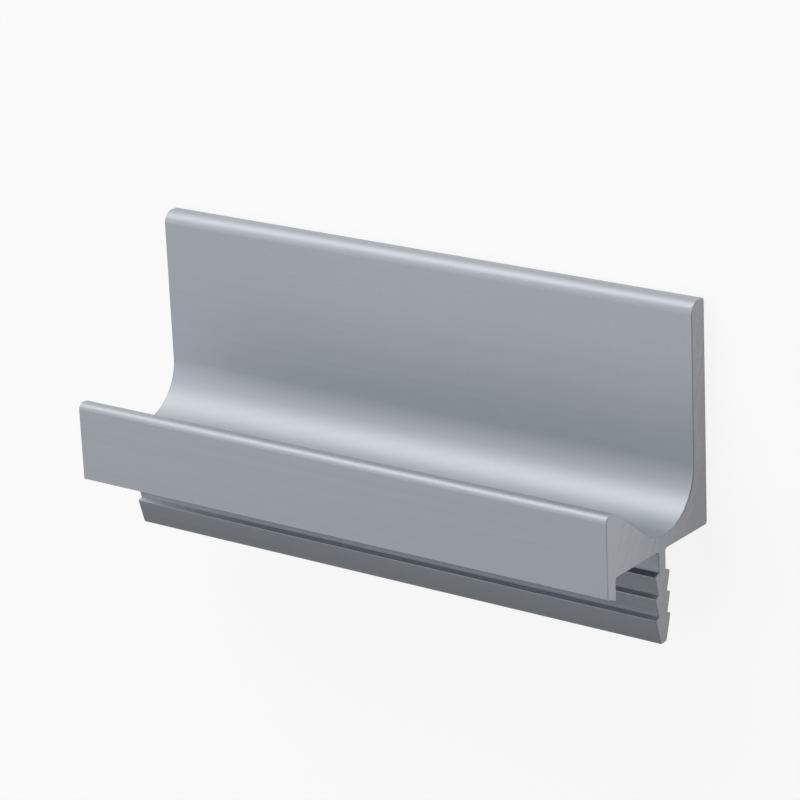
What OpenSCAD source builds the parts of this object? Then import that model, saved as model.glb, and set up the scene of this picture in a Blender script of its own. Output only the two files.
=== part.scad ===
// Edge-grip extrusion: a cut length of aluminium handle profile for the edge of a cabinet panel.
// One extruded section runs the whole length: a front lip, a finger trough, a tall back leaf,
// a flat seat under the trough, and a barbed tongue that presses into a groove in the panel edge.
// The section is drawn as it is used, [depth, height]: depth 0 at the lip's inner face, height 0 at
// the seat. The piece then lies on the back of its leaf, centred on its length and its height.

/* [Stock] */
// Length of the cut piece
stock_l = 76; // [20:1:1000]

/* [Panel seat] */
// Thickness of the panel whose edge the profile covers, lip to back face
panel_t = 19; // [17:0.5:25]
// Wall between the seat and the lowest point of the trough
web_t = 1.7; // [1.2:0.1:3]

/* [Front lip] */
// Thickness of the lip
lip_t = 1.6; // [1.2:0.1:2.5]
// Height of the lip above the seat
lip_h = 7.6; // [5:0.1:11]
// Reach of the lip's inner edge below the seat
lip_drop = 2.7; // [1:0.1:6]
// Slant of the lip's bottom edge, rising towards the front
lip_slant = 22; // [0:1:30]
// Width of the lip's top, from its front face to the start of the ramp
ledge_w = 1.6; // [1.4:0.1:3]
// Radius along the front of the lip's top
lip_front_r = 0.8; // [0.2:0.1:1]
// Radius along the back of the lip's top, where the ramp starts
lip_back_r = 1.5; // [0.2:0.1:2]

/* [Finger trough] */
// Radius of the hollow between the ramp and the leaf
trough_r = 6.4; // [4:0.1:7.5]

/* [Back leaf] */
// Thickness of the leaf
leaf_t = 2.6; // [2.1:0.1:4]
// Height of the leaf above the seat
leaf_h = 27; // [18:0.5:60]
// Radius along the front of the leaf's top edge
leaf_nose_r = 1.5; // [0.3:0.1:1.9]
// Radius along the two edges of the back face
back_edge_r = 0.4; // [0.1:0.1:0.6]

/* [Barbed tongue] */
// Reach of the tongue below the seat
tongue_l = 11.2; // [6:0.1:20]
// Thickness of the tongue between the seat and its first barb
neck_w = 1.4; // [1:0.1:2.2]
// Width over the tips of the barbs, for a 3 mm groove
barb_w = 3; // [2.4:0.1:4]
// Width between the barbs, at their roots
root_w = 1.8; // [1.2:0.1:2.2]
// Depth of the first pair of barb tips below the seat
barb_start = 2.8; // [2.2:0.1:4]
// Spacing of the barbs along the tongue
barb_pitch = 2.6; // [1.6:0.1:4]
// Fall of each barb's shoulder from its root to its tip, in degrees
barb_slope = 22; // [5:1:45]
// Height of the blunt land on each barb tip
barb_land = 0.15; // [0.05:0.05:0.4]
// Width of the tongue's leading end
end_w = 1.3; // [0.8:0.1:2]
// Bevel along the two edges of the leading end
end_bevel = 0.2; // [0.05:0.05:0.35]
// Radius in the inner corners of the seat
fillet_r = 0.3; // [0.1:0.1:0.6]

/* [Hidden] */
$fn = 96;

// The tongue stands at mid thickness of the panel
tongue_y = panel_t / 2;
// Barbs follow each other down to one spacing short of the leading end
barb_n = floor((tongue_l - barb_start - barb_pitch) / barb_pitch) + 1;
// The ramp runs from the back of the lip's top, tangent to the hollow
leaf_front = panel_t - leaf_t;
ramp_top = [ledge_w - lip_t, lip_h];
trough_centre = [leaf_front - trough_r, web_t + trough_r];
to_top = ramp_top - trough_centre;
ramp_angle = 90 - atan2(-to_top.y, -to_top.x) - acos(trough_r / norm(to_top));
// Corner where the ramp would meet the leaf if the hollow did not round it off
trough_corner = [leaf_front, lip_h - (leaf_front - ramp_top.x) * tan(ramp_angle)];
// The lying piece is centred between the tip of the tongue and the top of the leaf
mid_h = (leaf_h - tongue_l) / 2;

function unit(v) = v / norm(v);

// One side of the tongue, from seat to leading end, as [half width, depth, corner radius].
// Each barb has a short shoulder above its tip and a long taper below it.
function neck_half(k) = (k == 0 ? neck_w : root_w) / 2;
function barb_depth(k) = barb_start + k * barb_pitch;
function shoulder_fall(k) = (barb_w / 2 - neck_half(k)) * tan(barb_slope);
function barb_corners(k) = [
    [neck_half(k), barb_depth(k) - shoulder_fall(k), 0],
    [barb_w / 2, barb_depth(k), 0],
    [barb_w / 2, barb_depth(k) + barb_land, 0]
];
tongue_side = [
    [neck_w / 2, 0, fillet_r],
    for (k = [0 : barb_n - 1]) each barb_corners(k),
    [end_w / 2, tongue_l - end_bevel, 0],
    [end_w / 2 - end_bevel, tongue_l, 0]
];
side_n = len(tongue_side);

// Corners of the whole section, anticlockwise, as [depth, height, radius]
section_corners = [
    [-lip_t, lip_t * tan(lip_slant) - lip_drop, 0],
    [0, -lip_drop, 0],
    [0, 0, fillet_r],
    for (p = tongue_side) [tongue_y - p[0], -p[1], p[2]],
    for (i = [1 : side_n]) let (p = tongue_side[side_n - i]) [tongue_y + p[0], -p[1], p[2]],
    [panel_t, 0, back_edge_r],
    [panel_t, leaf_h, back_edge_r],
    [leaf_front, leaf_h, leaf_nose_r],
    [trough_corner.x, trough_corner.y, trough_r],
    [ramp_top.x, ramp_top.y, lip_back_r],
    [-lip_t, lip_h, lip_front_r]
];

// Fills an outline whose corners carry radii. Straight runs end at the tangent points,
// round caps fill the outer corners and hollow the inner ones.
module rounded_outline(corners) {
    n = len(corners);
    at = [for (c = corners) [c[0], c[1]]];
    radius = [for (c = corners) c[2]];
    to_last = [for (i = [0 : n - 1]) unit(at[(i + n - 1) % n] - at[i])];
    to_next = [for (i = [0 : n - 1]) unit(at[(i + 1) % n] - at[i])];
    half = [for (i = [0 : n - 1]) acos(to_last[i] * to_next[i]) / 2];
    outer = [for (i = [0 : n - 1]) cross(to_next[i], to_last[i]) > 0];
    // Tangent points on either side of each corner
    enter = [for (i = [0 : n - 1]) at[i] + to_last[i] * radius[i] / tan(half[i])];
    leave = [for (i = [0 : n - 1]) at[i] + to_next[i] * radius[i] / tan(half[i])];
    difference() {
        union() {
            polygon([for (i = [0 : n - 1]) each radius[i] > 0 ? [enter[i], leave[i]] : [at[i]]]);
            for (i = [0 : n - 1])
                if (radius[i] > 0 && outer[i])
                    round_cap(enter[i], leave[i], at[i], radius[i]);
        }
        for (i = [0 : n - 1])
            if (radius[i] > 0 && !outer[i])
                round_cap(enter[i], leave[i], at[i], radius[i]);
    }
}

// The part of a disc between the chord from one tangent point to the other and its arc,
// on the side of the corner that the arc rounds
module round_cap(from, to, corner, r) {
    chord_mid = (from + to) / 2;
    outward = unit(corner - chord_mid);
    centre = chord_mid - outward * sqrt(r * r - pow(norm(to - from) / 2, 2));
    intersection() {
        translate(centre) circle(r);
        polygon([from, to, to + outward * r, from + outward * r]);
    }
}

// The section turned on its back: height runs along Y, and the leaf's back face is at Z 0
module lying_section() {
    translate([-mid_h, panel_t])
        rotate(-90)
            rounded_outline(section_corners);
}

module grip_profile() {
    color([0.63, 0.65, 0.68])
        rotate([90, 0, 90])
            linear_extrude(stock_l, center = true)
                lying_section();
}

grip_profile();
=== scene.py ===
from math import acos, atan2, cos, degrees, hypot, radians, sin, tan

import bmesh
import bpy
from mathutils import Matrix, Vector


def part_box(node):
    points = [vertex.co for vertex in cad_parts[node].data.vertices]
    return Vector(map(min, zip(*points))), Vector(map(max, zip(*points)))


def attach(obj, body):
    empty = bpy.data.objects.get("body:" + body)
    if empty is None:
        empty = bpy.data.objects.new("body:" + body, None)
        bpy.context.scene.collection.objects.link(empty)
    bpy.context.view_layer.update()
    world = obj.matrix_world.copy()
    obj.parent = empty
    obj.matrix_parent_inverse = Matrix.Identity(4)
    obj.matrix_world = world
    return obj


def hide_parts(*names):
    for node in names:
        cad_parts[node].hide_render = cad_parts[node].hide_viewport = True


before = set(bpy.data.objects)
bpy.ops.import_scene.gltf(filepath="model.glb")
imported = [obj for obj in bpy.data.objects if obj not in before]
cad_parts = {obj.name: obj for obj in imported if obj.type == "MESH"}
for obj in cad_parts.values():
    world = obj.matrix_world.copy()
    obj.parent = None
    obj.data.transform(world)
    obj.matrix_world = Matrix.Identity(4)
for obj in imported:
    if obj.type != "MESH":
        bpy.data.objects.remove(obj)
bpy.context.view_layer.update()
mm = 0.001

# the bar lies on the back of its leaf: x along the bar, y from tongue to leaf top, z from back to lip
barLow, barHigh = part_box("grip_profile")
barSize = (barHigh - barLow) / mm
print("bar", [round(s, 2) for s in barSize], "mm")


# Bar: the section is drawn as it is used, depth from the lip's inner face and height from the seat
bar = {
    "panel": 19.0,        # panel thickness between lip and back face
    "web": 1.7,           # wall under the lowest point of the trough
    "lipHeight": 7.6,
    "lipDrop": 2.7,       # reach of the lip's inner edge below the seat
    "lipSlant": 22.0,     # degrees, bottom of the lip
    "ledge": 1.6,         # top of the lip, front face to ramp
    "lipFrontRound": 0.8,
    "lipBackRound": 1.5,
    "trough": 6.4,        # radius of the hollow
    "leaf": 2.6,
    "leafNose": 1.5,      # rounding on the front of the leaf's top
    "backEdge": 0.4,      # rounding on both edges of the back face
    "tongue": 11.2,       # reach below the seat
    "neck": 1.4,
    "barbWidth": 3.0,
    "barbRoot": 1.8,
    "barbStart": 2.8,     # depth of the first barb tips
    "barbPitch": 2.6,
    "barbSlope": 22.0,    # degrees, shoulder above each tip
    "barbLand": 0.15,
    "barbCount": 3,
    "endWidth": 1.3,
    "endBevel": 0.2,
    "fillet": 0.3,        # inner corners of the seat
    "arcStep": 3.0,       # degrees of arc for each facet
    "arcLeast": 3,        # fewest facets in an arc
    "sawnEdge": 0.14,     # deburred edge round both sawn ends
    "sawnFacets": 3,
    "endFacing": 0.9,     # x of a normal, above this the face is one of the two ends
    "sawnFacing": 0.1,    # x of a normal, above this the face has the sawn finish with its painted shade
    "smoothUpTo": 32.0,   # degrees, sharper edges stay crisp
}


def onBar(depth, height):
    midHeight = barSize.y / 2 - bar["tongue"]
    return Vector((barLow.x, (height - midHeight) * mm, (bar["panel"] - depth) * mm))


def lineTo(bm, tip, depth, height):
    tip = bmesh.ops.extrude_vert_indiv(bm, verts=[tip])["verts"][0]
    tip.co = onBar(depth, height)
    return tip


# turn is in degrees, anticlockwise in the section, depth to the right and height upwards
def arcTo(bm, tip, depth, height, turn):
    steps = max(bar["arcLeast"], round(abs(turn) / bar["arcStep"]))
    swept = bmesh.ops.spin(bm, geom=[tip], cent=onBar(depth, height), axis=(1, 0, 0),
                           angle=radians(turn), steps=steps)
    return swept["geom_last"][0]


# half widths and depths of the tongue, from its neck to its leading end
def tongueSide():
    half = bar["barbWidth"] / 2
    side = []
    for k in range(bar["barbCount"]):
        root = (bar["neck"] if k == 0 else bar["barbRoot"]) / 2
        tipDepth = bar["barbStart"] + k * bar["barbPitch"]
        fall = (half - root) * tan(radians(bar["barbSlope"]))
        side += [(root, tipDepth - fall), (half, tipDepth), (half, tipDepth + bar["barbLand"])]
    end = bar["endWidth"] / 2
    side += [(end, bar["tongue"] - bar["endBevel"]), (end - bar["endBevel"], bar["tongue"])]
    return side


def drawSection(bm):
    lip = barSize.z - bar["panel"]
    leafHeight = barSize.y - bar["tongue"]
    leafFront = bar["panel"] - bar["leaf"]
    middle = bar["panel"] / 2
    neck = bar["neck"] / 2
    fillet = bar["fillet"]
    back = bar["backEdge"]
    nose = bar["leafNose"]
    # the ramp runs from the ledge, tangent to the hollow
    hollow = bar["trough"]
    hollowDepth = leafFront - hollow
    hollowHeight = bar["web"] + hollow
    rampDepth = bar["ledge"] - lip
    toDepth = hollowDepth - rampDepth
    toHeight = hollowHeight - bar["lipHeight"]
    rampAngle = 90 - degrees(atan2(toHeight, toDepth) + acos(hollow / hypot(toDepth, toHeight)))
    ledgeRound = bar["lipBackRound"]
    ledgeRun = ledgeRound * tan(radians(rampAngle) / 2)
    front = bar["lipFrontRound"]

    # lip, seat and the tongue's front, then its back and the seat behind it
    start = bm.verts.new(onBar(-lip, lip * tan(radians(bar["lipSlant"])) - bar["lipDrop"]))
    tip = lineTo(bm, start, 0, -bar["lipDrop"])
    tip = lineTo(bm, tip, 0, -fillet)
    tip = arcTo(bm, tip, fillet, -fillet, -90)
    tip = lineTo(bm, tip, middle - neck - fillet, 0)
    tip = arcTo(bm, tip, middle - neck - fillet, -fillet, -90)
    side = tongueSide()
    for half, reach in side:
        tip = lineTo(bm, tip, middle - half, -reach)
    for half, reach in reversed(side):
        tip = lineTo(bm, tip, middle + half, -reach)
    tip = lineTo(bm, tip, middle + neck, -fillet)
    tip = arcTo(bm, tip, middle + neck + fillet, -fillet, -90)
    # up the back, over the leaf's top, down its front into the hollow, up the ramp to the ledge
    tip = lineTo(bm, tip, bar["panel"] - back, 0)
    tip = arcTo(bm, tip, bar["panel"] - back, back, 90)
    tip = lineTo(bm, tip, bar["panel"], leafHeight - back)
    tip = arcTo(bm, tip, bar["panel"] - back, leafHeight - back, 90)
    tip = lineTo(bm, tip, leafFront + nose, leafHeight)
    tip = arcTo(bm, tip, leafFront + nose, leafHeight - nose, 90)
    tip = lineTo(bm, tip, leafFront, hollowHeight)
    tip = arcTo(bm, tip, hollowDepth, hollowHeight, -90 - rampAngle)
    tip = lineTo(bm, tip, rampDepth + ledgeRun * cos(radians(rampAngle)),
                 bar["lipHeight"] - ledgeRun * sin(radians(rampAngle)))
    tip = arcTo(bm, tip, rampDepth - ledgeRun, bar["lipHeight"] - ledgeRound, rampAngle)
    tip = lineTo(bm, tip, front - lip, bar["lipHeight"])
    tip = arcTo(bm, tip, front - lip, bar["lipHeight"] - front, 90)
    bm.edges.new((tip, start))


def makeBar():
    bm = bmesh.new()
    drawSection(bm)
    bmesh.ops.contextual_create(bm, geom=bm.edges[:])
    swept = bmesh.ops.extrude_face_region(bm, geom=bm.faces[:])
    farEnd = [g for g in swept["geom"] if isinstance(g, bmesh.types.BMVert)]
    bmesh.ops.translate(bm, verts=farEnd, vec=(barHigh.x - barLow.x, 0, 0))
    bmesh.ops.recalc_face_normals(bm, faces=bm.faces[:])
    rims = [e for e in bm.edges if any(abs(f.normal.x) > bar["endFacing"] for f in e.link_faces)]
    bmesh.ops.bevel(bm, geom=rims, offset=bar["sawnEdge"] * mm, offset_type="OFFSET",
                    affect="EDGES", segments=bar["sawnFacets"], profile=0.5, material=-1)
    for face in bm.faces:
        face.normal_update()
        face.material_index = 1 if abs(face.normal.x) > bar["sawnFacing"] else 0
    mesh = bpy.data.meshes.new("gripProfile")
    bm.to_mesh(mesh)
    bm.free()
    mesh.shade_smooth()
    mesh.set_sharp_from_angle(angle=radians(bar["smoothUpTo"]))
    piece = bpy.data.objects.new("gripProfile", mesh)
    bpy.context.collection.objects.link(piece)
    even = piece.modifiers.new("evenNormals", "WEIGHTED_NORMAL")
    even.keep_sharp = True
    return piece


gripProfile = makeBar()
print("bar faces", len(gripProfile.data.polygons))


# Finish: matt etched metal under clear anodising, drawn lines along the bar, saw arcs and painted shade on
# the ends
surface = {
    "lineRoughness": 0.55,   # of the noise that draws the lines
    "grainDetail": 2.0,
    "darkAt": 0.3,           # mask values of the darkest and the lightest tone
    "lightAt": 0.7,
}


def newGroup(name, inputs, outputs):
    group = bpy.data.node_groups.new(name, "ShaderNodeTree")
    for label, kind in inputs.items():
        group.interface.new_socket(label, in_out="INPUT", socket_type="NodeSocket" + kind)
    for label, kind in outputs.items():
        group.interface.new_socket(label, in_out="OUTPUT", socket_type="NodeSocket" + kind)
    return group, group.nodes.new("NodeGroupInput"), group.nodes.new("NodeGroupOutput")


# lines: noise drawn out in one direction, as a mask about 0.5
def drawnLinesGroup():
    group, given, put = newGroup("drawnLines", {"Spread": "Vector", "Detail": "Float"}, {"Mask": "Float"})
    where = group.nodes.new("ShaderNodeTexCoord")
    spread = group.nodes.new("ShaderNodeVectorMath")
    spread.operation = "MULTIPLY"
    noise = group.nodes.new("ShaderNodeTexNoise")
    noise.inputs["Scale"].default_value = 1.0
    noise.inputs["Roughness"].default_value = surface["lineRoughness"]
    group.links.new(where.outputs["Object"], spread.inputs[0])
    group.links.new(given.outputs["Spread"], spread.inputs[1])
    group.links.new(spread.outputs[0], noise.inputs["Vector"])
    group.links.new(given.outputs["Detail"], noise.inputs["Detail"])
    group.links.new(noise.outputs["Fac"], put.inputs["Mask"])
    return group


# one mask and one fine grain give tone, roughness and height
def mattMetalGroup():
    group, given, put = newGroup(
        "mattMetal",
        {"Mask": "Float", "Dark": "Color", "Light": "Color", "Roughness Low": "Float",
         "Roughness High": "Float", "Grain": "Float", "Grain Share": "Float"},
        {"Colour": "Color", "Roughness": "Float", "Height": "Float"})
    where = group.nodes.new("ShaderNodeTexCoord")
    grain = group.nodes.new("ShaderNodeTexNoise")
    grain.inputs["Detail"].default_value = surface["grainDetail"]
    blend = group.nodes.new("ShaderNodeMix")
    steep = group.nodes.new("ShaderNodeMapRange")
    steep.inputs["From Min"].default_value = surface["darkAt"]
    steep.inputs["From Max"].default_value = surface["lightAt"]
    tone = group.nodes.new("ShaderNodeMix")
    tone.data_type = "RGBA"
    rough = group.nodes.new("ShaderNodeMapRange")
    group.links.new(where.outputs["Object"], grain.inputs["Vector"])
    group.links.new(given.outputs["Grain"], grain.inputs["Scale"])
    group.links.new(given.outputs["Grain Share"], blend.inputs["Factor"])
    group.links.new(given.outputs["Mask"], blend.inputs["A"])
    group.links.new(grain.outputs["Fac"], blend.inputs["B"])
    group.links.new(blend.outputs["Result"], steep.inputs["Value"])
    # a colour mix has its two colours at inputs 6 and 7 and its result at output 2
    group.links.new(steep.outputs["Result"], tone.inputs["Factor"])
    group.links.new(given.outputs["Dark"], tone.inputs[6])
    group.links.new(given.outputs["Light"], tone.inputs[7])
    group.links.new(tone.outputs[2], put.inputs["Colour"])
    group.links.new(steep.outputs["Result"], rough.inputs["Value"])
    group.links.new(given.outputs["Roughness Low"], rough.inputs["To Min"])
    group.links.new(given.outputs["Roughness High"], rough.inputs["To Max"])
    group.links.new(rough.outputs["Result"], put.inputs["Roughness"])
    group.links.new(blend.outputs["Result"], put.inputs["Height"])
    return group


drawnLines = drawnLinesGroup()
mattMetal = mattMetalGroup()


def placeGroup(nodes, group, values):
    node = nodes.new("ShaderNodeGroup")
    node.node_tree = group
    for label, value in values.items():
        node.inputs[label].default_value = value
    return node


def metalMaterial(spec):
    material = bpy.data.materials.new(spec["name"])
    material.use_nodes = True
    nodes = material.node_tree.nodes
    links = material.node_tree.links
    shader = nodes["Principled BSDF"]
    shader.inputs["Metallic"].default_value = spec["metallic"]
    metal = placeGroup(nodes, mattMetal, spec["metal"])
    bump = nodes.new("ShaderNodeBump")
    bump.inputs["Strength"].default_value = spec["bump"]
    bump.inputs["Distance"].default_value = spec["relief"] * mm
    links.new(metal.outputs["Colour"], shader.inputs["Base Color"])
    links.new(metal.outputs["Roughness"], shader.inputs["Roughness"])
    links.new(metal.outputs["Height"], bump.inputs["Height"])
    links.new(bump.outputs["Normal"], shader.inputs["Normal"])
    return material, nodes, links, metal


# lengths are in mm, the spread and the grain in waves to the metre
skin = {
    "name": "anodisedSkin", "metallic": 1.0, "bump": 0.25, "relief": 0.02,
    "lines": {"Spread": (14, 1500, 1500), "Detail": 3.0},
    "metal": {
        "Dark": (0.413, 0.441, 0.48, 1), "Light": (0.461, 0.492, 0.534, 1),
        "Roughness Low": 0.51, "Roughness High": 0.59, "Grain": 5200.0, "Grain Share": 0.45,
    },
}
sawn = {
    "name": "sawnEnd", "metallic": 1.0, "bump": 0.3, "relief": 0.02,
    "bladeAndShadeMiddle": (0, 60, 150), "markPitch": 0.6, "markDetail": 3.0,
    "paintedPaleRadius": 144.0, "paintedDarkRadius": 164.0,   # radii between which the painted shade goes from pale to dark
    # share of the painted shade in the ends' tone, the rest is the saw's marks
    "paintedShadeShare": 0.72,
    "metal": {
        # Dark and Light are the tones of the painted shade as well as of the saw's marks
        "Dark": (0.3, 0.312, 0.333, 1), "Light": (0.453, 0.469, 0.493, 1),
        "Roughness Low": 0.6, "Roughness High": 0.64, "Grain": 4200.0, "Grain Share": 0.3,
    },
}


def makeSkin():
    material, nodes, links, metal = metalMaterial(skin)
    lines = placeGroup(nodes, drawnLines, skin["lines"])
    links.new(lines.outputs["Mask"], metal.inputs["Mask"])
    return material


# the saw's marks are uneven rings about the middle of its blade; a painted shade, in rings about the same
# middle, makes the ends paler near the lip and darker towards the back face and the tongue's end
def makeSawn():
    material, nodes, links, metal = metalMaterial(sawn)
    pitch = sawn["markPitch"] * mm
    where = nodes.new("ShaderNodeTexCoord")
    bladeAndShadeSpace = nodes.new("ShaderNodeMapping")
    bladeAndShadeSpace.inputs["Location"].default_value = Vector(sawn["bladeAndShadeMiddle"]) * -mm / pitch
    bladeAndShadeSpace.inputs["Scale"].default_value = (0, 1 / pitch, 1 / pitch)
    reach = nodes.new("ShaderNodeVectorMath")
    reach.operation = "LENGTH"
    marks = nodes.new("ShaderNodeTexNoise")
    marks.noise_dimensions = "1D"
    marks.inputs["Scale"].default_value = 1.0
    marks.inputs["Detail"].default_value = sawn["markDetail"]
    # painted shade: pale near the lip, dark towards the back face and the tongue's end
    paintedShade = nodes.new("ShaderNodeMapRange")
    paintedShade.inputs["From Min"].default_value = sawn["paintedDarkRadius"] * mm / pitch
    paintedShade.inputs["From Max"].default_value = sawn["paintedPaleRadius"] * mm / pitch
    both = nodes.new("ShaderNodeMix")
    both.inputs["Factor"].default_value = sawn["paintedShadeShare"]
    links.new(where.outputs["Object"], bladeAndShadeSpace.inputs["Vector"])
    links.new(bladeAndShadeSpace.outputs["Vector"], reach.inputs[0])
    links.new(reach.outputs["Value"], marks.inputs["W"])
    links.new(reach.outputs["Value"], paintedShade.inputs["Value"])
    links.new(marks.outputs["Fac"], both.inputs["A"])
    links.new(paintedShade.outputs["Result"], both.inputs["B"])
    links.new(both.outputs["Result"], metal.inputs["Mask"])
    return material


gripProfile.data.materials.append(makeSkin())
gripProfile.data.materials.append(makeSawn())
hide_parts("grip_profile")
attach(gripProfile, "root")
print("finish done")


# Floor: pale, with a white share for the rays that look at it, and the bar's shadow
floor = {"size": 4.0, "colour": (0.9, 0.9, 0.9), "white": 0.86}


def makeFloor():
    bm = bmesh.new()
    bmesh.ops.create_grid(bm, x_segments=1, y_segments=1, size=floor["size"] / 2)
    mesh = bpy.data.meshes.new("studioFloor")
    bm.to_mesh(mesh)
    bm.free()
    piece = bpy.data.objects.new("studioFloor", mesh)
    bpy.context.collection.objects.link(piece)
    mesh.materials.append(floorMaterial())


def floorMaterial():
    material = bpy.data.materials.new("paleFloor")
    material.use_nodes = True
    nodes = material.node_tree.nodes
    links = material.node_tree.links
    nodes.clear()
    matt = nodes.new("ShaderNodeBsdfDiffuse")
    matt.inputs["Color"].default_value = (*floor["colour"], 1)
    white = nodes.new("ShaderNodeEmission")
    path = nodes.new("ShaderNodeLightPath")
    seen = nodes.new("ShaderNodeMath")
    seen.operation = "MAXIMUM"
    looked = nodes.new("ShaderNodeMath")
    looked.operation = "MAXIMUM"
    share = nodes.new("ShaderNodeMath")
    share.operation = "MULTIPLY"
    share.inputs[1].default_value = floor["white"]
    both = nodes.new("ShaderNodeMixShader")
    out = nodes.new("ShaderNodeOutputMaterial")
    links.new(path.outputs["Is Camera Ray"], seen.inputs[0])
    links.new(path.outputs["Is Glossy Ray"], seen.inputs[1])
    links.new(seen.outputs[0], looked.inputs[0])
    links.new(path.outputs["Is Transmission Ray"], looked.inputs[1])
    links.new(looked.outputs[0], share.inputs[0])
    links.new(share.outputs[0], both.inputs[0])
    links.new(matt.outputs[0], both.inputs[1])
    links.new(white.outputs[0], both.inputs[2])
    links.new(both.outputs[0], out.inputs["Surface"])
    return material


makeFloor()


# Light: soft boxes beyond the leaf's top, a wide one over the front, weak ones at left and right
warm = (1.0, 0.985, 0.96)
plain = (1.0, 1.0, 1.0)
lamps = {
    "topBox": {"from": (-0.1, 0.9, 0.4), "distance": 1.2, "size": 0.9, "power": 7.3, "colour": warm},
    "topLeftBox": {"from": (-0.75, 0.65, 0.2), "distance": 0.9, "size": 0.9, "power": 3.4, "colour": warm},
    "leftBox": {"from": (-0.95, 0.15, 0.3), "distance": 0.9, "size": 0.9, "power": 1.3, "colour": plain},
    "frontBox": {"from": (-0.4, -0.1, 0.9), "distance": 1.3, "size": 1.8, "power": 8.1, "colour": plain},
    "rightBox": {"from": (0.75, -0.45, 0.5), "distance": 0.9, "size": 0.9, "power": 2.0, "colour": plain},
}
room = {"colour": (0.98, 0.99, 1.0), "strength": 0.026}


def addLamp(name, spec):
    light = bpy.data.lights.new(name, "AREA")
    light.shape = "DISK"
    light.size = spec["size"]
    light.energy = spec["power"]
    light.color = spec["colour"]
    lamp = bpy.data.objects.new(name, light)
    side = Vector(spec["from"]).normalized()
    lamp.location = side * spec["distance"]
    lamp.rotation_euler = side.to_track_quat("Z", "Y").to_euler()
    bpy.context.collection.objects.link(lamp)


def lightRoom():
    world = bpy.data.worlds.new("studioRoom")
    world.use_nodes = True
    around = world.node_tree.nodes["Background"]
    around.inputs["Color"].default_value = (*room["colour"], 1)
    around.inputs["Strength"].default_value = room["strength"]
    bpy.context.scene.world = world


for name, spec in lamps.items():
    addLamp(name, spec)
lightRoom()
bpy.context.scene.view_settings.view_transform = "Standard"


# Camera: unturned it would look straight down on the lip's face, with the leaf's top upwards
photo = {
    "turn": 37.12,        # degrees, towards the bar's right end
    "tilt": 19.15,        # degrees, towards the leaf's top
    "roll": -2.51,
    "aim": (1.2, 3.1, 8.1),
    "distance": 415.5,
    "lens": 160.26,
    "sensor": 36.0,
    "nearest": 10.0,      # nothing closer than this is drawn
}


def addCamera():
    camera = bpy.data.cameras.new("photoCamera")
    camera.lens = photo["lens"]
    camera.sensor_width = photo["sensor"]
    camera.clip_start = photo["nearest"] * mm
    holder = bpy.data.objects.new("photoCamera", camera)
    aim = Matrix.Translation(Vector(photo["aim"]) * mm)
    turn = Matrix.Rotation(radians(photo["turn"]), 4, "Y")
    tilt = Matrix.Rotation(-radians(photo["tilt"]), 4, "X")
    roll = Matrix.Rotation(radians(photo["roll"]), 4, "Z")
    away = Matrix.Translation((0, 0, photo["distance"] * mm))
    holder.matrix_world = aim @ turn @ tilt @ roll @ away
    bpy.context.collection.objects.link(holder)
    bpy.context.scene.camera = holder


addCamera()
print("stage done")
